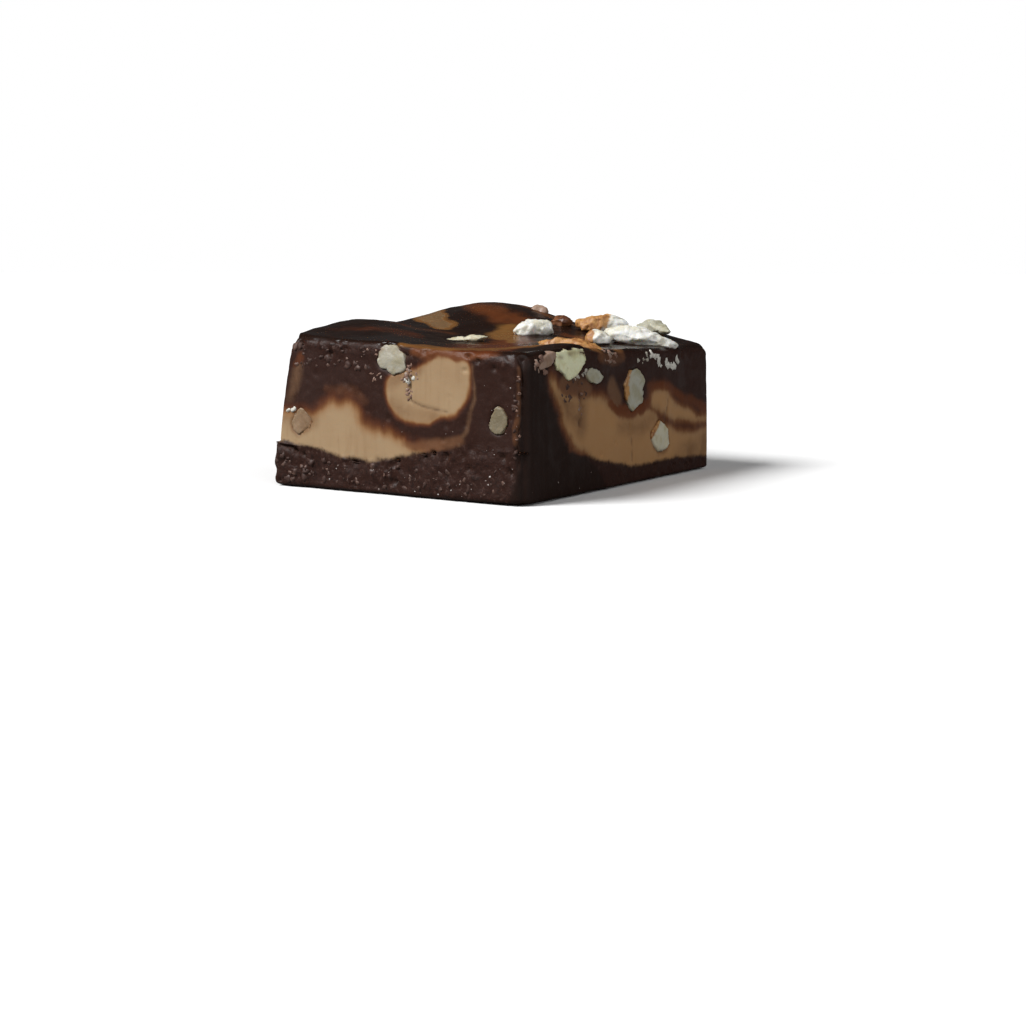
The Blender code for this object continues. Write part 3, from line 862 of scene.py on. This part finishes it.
def fudge_material():
    """Both fudges: caramel that darkens into chocolate across each swirl, and a glossy top."""
    made, nodes, links, shader, place = new_material("marbled_fudge")
    swirl = attribute_node(nodes, "swirl")
    under = attribute_node(nodes, "under")
    glow = attribute_node(nodes, "glow")
    red = attribute_node(nodes, "red")
    smear_and_shade = attribute_node(nodes, "smear_and_shade")
    groove_shade = attribute_node(nodes, "groove_shade")
    on_top = attribute_node(nodes, "on_top")
    crumbly = attribute_node(nodes, "crumbly")
    right = attribute_node(nodes, "right")
    gap = attribute_node(nodes, "nut_gap")

    drawn = nodes.new("ShaderNodeMapping")
    drawn.inputs["Scale"].default_value = (1.0, 1.0, 0.13)
    links.new(place, drawn.inputs["Vector"])
    knife_marks = noise_node(nodes, links, drawn.outputs[0], 900, 3)
    cloud = noise_node(nodes, links, place, 260, 4, 0.5)
    fine = noise_node(nodes, links, place, 1300, 3)
    broad = noise_node(nodes, links, place, 80, 2)

    # Caramel to chocolate
    edge = math_node(nodes, links, "MULTIPLY_ADD", cloud, 0.7, swirl)
    edge = math_node(nodes, links, "MULTIPLY_ADD", knife_marks, 0.5, edge)
    edge = math_node(nodes, links, "SUBTRACT", edge, 0.6)
    along = nodes.new("ShaderNodeMapRange")
    along.inputs["From Min"].default_value = -1.2
    along.inputs["From Max"].default_value = 1.4
    links.new(edge, along.inputs["Value"])
    stops = (
        (0.00, CARAMEL), (0.22, CARAMEL), (0.40, WARM_CARAMEL), (0.54, ORANGE_BROWN), (0.68, RED_BROWN),
        (0.88, CHOCOLATE), (1.00, CHOCOLATE),
    )
    colour = colour_ramp(nodes, links, along.outputs["Result"], stops, "B_SPLINE")

    caramel = span(nodes, links, edge, -0.6, 0.2, 1.0, 0.0)
    clouds = math_node(nodes, links, "MULTIPLY", span(nodes, links, broad, 0.40, 0.68, 0, 0.45), caramel)
    colour = mix_colour(nodes, links, clouds, colour, CLOUDED_CARAMEL)
    scratches = span(nodes, links, knife_marks, 0.50, 0.72, 0, 0.30)
    scratches = math_node(nodes, links, "MULTIPLY", scratches, caramel)
    colour = mix_colour(nodes, links, scratches, colour, SCRATCHED_CARAMEL)
    tanned = math_node(nodes, links, "MULTIPLY", attribute_node(nodes, "tan"), caramel)
    tanned = math_node(nodes, links, "MULTIPLY", tanned, span(nodes, links, cloud, 0.3, 0.6, 0.5, 1.0))
    warm = math_node(nodes, links, "MULTIPLY", right, caramel)
    colour = mix_colour(nodes, links, math_node(nodes, links, "MULTIPLY", warm, 0.9), colour, RIGHT_CARAMEL)
    colour = mix_colour(nodes, links, tanned, colour, TANNED_CARAMEL)
    under_glaze = math_node(nodes, links, "MULTIPLY", on_top, caramel)
    colour = mix_colour(nodes, links, under_glaze, colour, GLAZED_CARAMEL)

    # Chocolate: mottled where it is crumbly, deeper on top, and darker on the smeared near corner as painted
    # shade
    grains = math_node(nodes, links, "SUBTRACT", fine, 0.5)
    blurred = math_node(nodes, links, "MULTIPLY_ADD", grains, 0.5, under)
    colour = mix_colour(nodes, links, span(nodes, links, blurred, 0.05, 0.95), colour, CHOCOLATE)
    chocolate = math_node(nodes, links, "MAXIMUM", span(nodes, links, edge, 0.3, 1.1), under)
    deep = math_node(nodes, links, "MAXIMUM", math_node(nodes, links, "MULTIPLY", smear_and_shade, 0.85), on_top)
    deep = math_node(nodes, links, "MULTIPLY", deep, chocolate)
    colour = mix_colour(nodes, links, deep, colour, DEEP_TOP_CHOCOLATE_AND_CORNER_SHADE)
    dark_spots = math_node(nodes, links, "MULTIPLY", span(nodes, links, fine, 0.52, 0.66, 0, 0.75), crumbly)
    colour = mix_colour(nodes, links, dark_spots, colour, DARK_CRUMB)
    pale_spots = math_node(nodes, links, "MULTIPLY", span(nodes, links, fine, 0.30, 0.42, 0.4, 0), crumbly)
    colour = mix_colour(nodes, links, pale_spots, colour, PALE_CRUMB)

    # Streaks between the two
    side_stain = mix_colour(nodes, links, red, *CUT_STREAKS)
    top_stain = mix_colour(nodes, links, red, *TOP_STREAKS)
    stain = mix_colour(nodes, links, on_top, side_stain, top_stain)
    wisps = math_node(nodes, links, "SUBTRACT", cloud, 0.5)
    ragged = math_node(nodes, links, "MULTIPLY_ADD", wisps, 0.7, glow)
    ragged = span(nodes, links, ragged, 0.05, 1.15)
    ragged = math_node(nodes, links, "MULTIPLY", ragged, span(nodes, links, glow, 0.0, 0.3))
    bare = math_node(nodes, links, "SUBTRACT", 1.0, caramel)
    ragged = math_node(nodes, links, "MULTIPLY", ragged, bare)
    colour = mix_colour(nodes, links, ragged, colour, stain)

    # Painted shade: a browner ring round each nut where it meets the fudge, and darker grooves and pits
    rim_shade = span(nodes, links, gap, 0.05, 1.0, 0.8, 0.0)
    rim_shade = math_node(nodes, links, "MULTIPLY", rim_shade, span(nodes, links, cloud, 0.35, 0.6, 0.3, 1.0))
    rim_shade = math_node(nodes, links, "MULTIPLY", rim_shade, caramel)
    colour = mix_colour(nodes, links, rim_shade, colour, NUT_RIM_SHADE)
    shaded = math_node(nodes, links, "MULTIPLY", groove_shade, 0.55)
    colour = mix_colour(nodes, links, shaded, colour, PAINTED_GROOVE_SHADE)
    links.new(colour, shader.inputs["Base Color"])

    dull = span(nodes, links, cloud, 0.3, 0.7, 0.42, 0.62)
    gloss = span(nodes, links, broad, 0.35, 0.65, 0.20, 0.36)
    rough = nodes.new("ShaderNodeMix")
    rough.data_type = "FLOAT"
    links.new(on_top, rough.inputs[0])
    links.new(dull, rough.inputs[2])
    links.new(gloss, rough.inputs[3])
    links.new(rough.outputs[0], shader.inputs["Roughness"])

    coarseness = math_node(nodes, links, "MULTIPLY_ADD", crumbly, 0.9, 0.10)
    grain = math_node(nodes, links, "MULTIPLY", fine, coarseness)
    links.new(bump_node(nodes, links, grain, 0.5, 0.00035), shader.inputs["Normal"])
    shader.inputs["Specular IOR Level"].default_value = 0.16
    shader.inputs["Subsurface Weight"].default_value = 0.1
    shader.inputs["Subsurface Scale"].default_value = 0.0015
    shader.inputs["Subsurface Radius"].default_value = (1.0, 0.5, 0.25)
    return made


fudge_finish = fudge_material()
base_skin = fudge_skin(
    "chocolate_base_skin", BASE_SPANS, lambda s, t: 0.0, seam_height, False, fudge_finish, "chocolate_fudge"
)
marbled_skin = fudge_skin(
    "marbled_fudge_skin", MARBLED_SPANS, seam_height, top_height, True, fudge_finish, "caramel_fudge"
)

fudge_trees = []
for skin in (base_skin, marbled_skin):
    skin_bm = bmesh.new()
    skin_bm.from_mesh(skin.data)
    fudge_trees.append(BVHTree.FromBMesh(skin_bm))
    skin_bm.free()

# Where the nuts come out of the fudge, a film of it browns their edges.
for piece in pecans.values():
    buried = []
    for vert in piece.data.vertices:
        found = [tree.find_nearest(vert.co) for tree in fudge_trees]
        spot, normal, _, distance = min(found, key=lambda hit: hit[3])
        outside = (vert.co - spot).dot(normal) > 0
        depth = distance / MM * (1 if outside else -1)
        buried.append(0.8 * (1 - float(smooth_step(-0.10, 0.32, depth))))
    point_attribute(piece.data, "buried", buried)

# ---------------------------------------------------------------------------------------------
# Crumbs and specks: bits of nut and chocolate that the knife broke off and dragged over the cuts,
# and glossy crystals of sugar and fat in the chocolate, whose pale colour is partly a painted glint.
# They are lumpy little balls, pressed flat on the skin and partly sunk in it.

# Where each kind is on the crumbs' ramp of colours, from clean nut flesh to chocolate
CRUMB_TINTS = {"white": 0.0, "grey": 0.3, "pink": 0.65, "brown": 1.0}
# Where crumbs cluster: tint, how many, from and to place and height, and least and most radius
CRUMB_CLUSTERS = (
    ("white", 4, (96.8, 22.8), (99.6, 23.3), 0.50, 0.95),
    ("white", 9, (102.2, 20.7), (107.2, 21.9), 0.45, 1.00),
    ("grey", 12, (91.4, 21.2), (95.6, 23.8), 0.20, 0.65),
    ("white", 5, (99.6, 21.0), (102.0, 22.2), 0.40, 0.85),
    ("pink", 14, (80.2, 22.4), (85.4, 25.0), 0.20, 0.70),
    ("pink", 8, (57.4, 22.4), (63.6, 24.6), 0.30, 0.75),
    ("grey", 9, (69.8, 20.4), (74.0, 21.4), 0.20, 0.55),
    ("pink", 6, (71.6, 12.8), (72.6, 18.6), 0.15, 0.42),
    ("brown", 14, (66.0, 16.6), (74.0, 20.0), 0.20, 0.60),
    ("white", 3, (3.4, 13.6), (5.4, 14.1), 0.40, 0.75),
    ("pink", 13, (28.8, 19.8), (32.6, 22.8), 0.25, 0.70),
    ("white", 6, (29.8, 19.4), (31.6, 20.8), 0.25, 0.60),
    ("pink", 8, (30.2, 16.6), (31.0, 19.4), 0.15, 0.45),
    ("pink", 8, (21.8, 19.8), (26.4, 21.0), 0.22, 0.60),
    ("pink", 7, (19.6, 23.6), (25.4, 25.2), 0.12, 0.34),
    ("brown", 34, (3.6, 21.6), (22.0, 26.2), 0.25, 0.75),
    ("pink", 12, (52.6, 11.0), (53.8, 23.6), 0.15, 0.42),
    ("brown", 12, (51.8, 8.0), (53.4, 22.6), 0.20, 0.50),
    ("brown", 70, (1.0, 1.2), (50.0, 5.6), 0.22, 0.75),
    ("brown", 9, (1.5, 1.2), (9.0, 4.6), 0.40, 0.85),
    ("brown", 50, (150.0, 1.0), (238.0, 5.0), 0.22, 0.70),
    ("white", 8, (136.0, 16.0), (142.0, 22.0), 0.25, 0.70),
    ("pink", 12, (200.0, 14.0), (212.0, 22.0), 0.20, 0.55),
    ("grey", 9, (168.0, 19.6), (176.0, 22.4), 0.22, 0.60),
)
# Where the pale specks sit in the chocolate, their pale colour partly a painted glint: how many, then from and
# to place and height
SPECK_CLUSTERS = (
    (22, (18.0, 0.8), (45.0, 4.6)),
    (10, (46.0, 2.0), (52.0, 10.0)),
    (5, (2.0, 1.0), (16.0, 5.0)),
    (5, (44.0, 12.0), (52.0, 23.0)),
    (4, (22.0, 11.0), (42.0, 13.0)),
    (4, (56.0, 1.0), (80.0, 5.0)),
    (24, (125.0, 0.8), (238.0, 4.6)),
)
SPECK_RADII = (0.05, 0.24)


def spot_on_side(place, height):
    """The point of the fudge's skin at this place and height, and which way is outwards."""
    wide, deep = WIDTH / MM, DEPTH / MM
    place %= ROUND_THE_PIECE
    if place < wide:
        x, y = place - wide / 2, -deep / 2
    elif place < wide + deep:
        x, y = wide / 2, place - wide - deep / 2
    elif place < 2 * wide + deep:
        x, y = wide / 2 - (place - wide - deep), deep / 2
    else:
        x, y = -wide / 2, deep / 2 - (place - 2 * wide - deep)
    spot = Vector((x, y, height)) * MM
    found = [tree.find_nearest(spot) for tree in fudge_trees]
    nearest, normal, _, _ = min(found, key=lambda hit: hit[3])
    return nearest, normal


def add_crumb(bm, spot, normal, radius, detail, sunk):
    """A small broken lump, flattened on the skin and sunk by a share of its radius.

    Returns how many points it has.
    """
    made = bmesh.ops.create_icosphere(bm, subdivisions=detail, radius=radius * MM)["verts"]
    seed = Vector((rng.uniform(0, 90), rng.uniform(0, 90), 0))
    wide, long = rng.uniform(0.65, 1.1), rng.uniform(0.85, 1.35)
    turn = normal.to_track_quat("Z", "Y").to_matrix() @ Matrix.Rotation(rng.uniform(0, 6.28), 3, "Z")
    for vert in made:
        lumpy = 1 + 0.8 * noise.noise(vert.co / (radius * MM) * 1.3 + seed)
        local = Vector((vert.co.x * wide, vert.co.y * long, vert.co.z * 0.7)) * lumpy
        vert.co = in_box(spot + turn @ local - normal * sunk * radius * MM)
    return len(made)


crumb_bm = bmesh.new()
crumb_tints = []
for tint, how_many, (place_from, height_from), (place_to, height_to), least, most in CRUMB_CLUSTERS:
    for _ in range(how_many):
        place = rng.uniform(place_from, place_to)
        height = rng.uniform(height_from, height_to)
        radius = least + (most - least) * rng.random() ** 1.6
        spot, normal = spot_on_side(place, height)
        points_made = add_crumb(crumb_bm, spot, normal, radius, 2, 0.4)
        shade = CRUMB_TINTS[tint] + rng.uniform(-0.08, 0.08)
        crumb_tints.extend([shade] * points_made)


def crumb_material():
    """Crumbs of nut flesh, from clean white through pinkish with fudge to brown."""
    made, nodes, links, shader, place = new_material("nut_crumbs")
    tint = attribute_node(nodes, "tint")
    mottle = noise_node(nodes, links, place, 1400, 3)
    uneven = math_node(nodes, links, "SUBTRACT", mottle, 0.5)
    tint = math_node(nodes, links, "MULTIPLY_ADD", uneven, 0.7, tint)
    stops = (
        (0.0, (0.62, 0.60, 0.54)), (0.3, (0.40, 0.37, 0.31)), (0.65, (0.235, 0.135, 0.100)),
        (1.0, (0.050, 0.024, 0.018)),
    )
    links.new(colour_ramp(nodes, links, tint, stops), shader.inputs["Base Color"])
    links.new(span(nodes, links, mottle, 0.3, 0.7, 0.45, 0.65), shader.inputs["Roughness"])
    links.new(bump_node(nodes, links, mottle, 0.4, 0.0002), shader.inputs["Normal"])
    shader.inputs["Specular IOR Level"].default_value = 0.3
    return made


crumbs = add_piece("nut_crumbs", crumb_bm, crumb_material(), "pecan_flesh")
point_attribute(crumbs.data, "tint", crumb_tints)
crumbs.data.shade_smooth()

speck_bm = bmesh.new()
for how_many, (place_from, height_from), (place_to, height_to) in SPECK_CLUSTERS:
    for _ in range(how_many):
        place = rng.uniform(place_from, place_to)
        spot, normal = spot_on_side(place, rng.uniform(height_from, height_to))
        least, most = SPECK_RADII
        add_crumb(speck_bm, spot, normal, least + (most - least) * rng.random() ** 2, 1, 0.3)


def painted_glint_speck_material():
    """Pale crystals of sugar and fat, glossy; their pale colour is partly a painted glint."""
    made, nodes, links, shader, place = new_material("sugar_specks_painted_glints")
    mottle = noise_node(nodes, links, place, 300, 2)
    share = span(nodes, links, mottle, 0.35, 0.65)
    colour = mix_colour(nodes, links, share, (0.62, 0.58, 0.55), (0.20, 0.14, 0.12))
    links.new(colour, shader.inputs["Base Color"])
    links.new(span(nodes, links, mottle, 0.3, 0.7, 0.15, 0.35), shader.inputs["Roughness"])
    return made


add_piece("sugar_specks_painted_glints", speck_bm, painted_glint_speck_material(), "chocolate_fudge")

size = {"cad": [list(corner) for corner in cad_bounds], "visual": [list(corner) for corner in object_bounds()]}
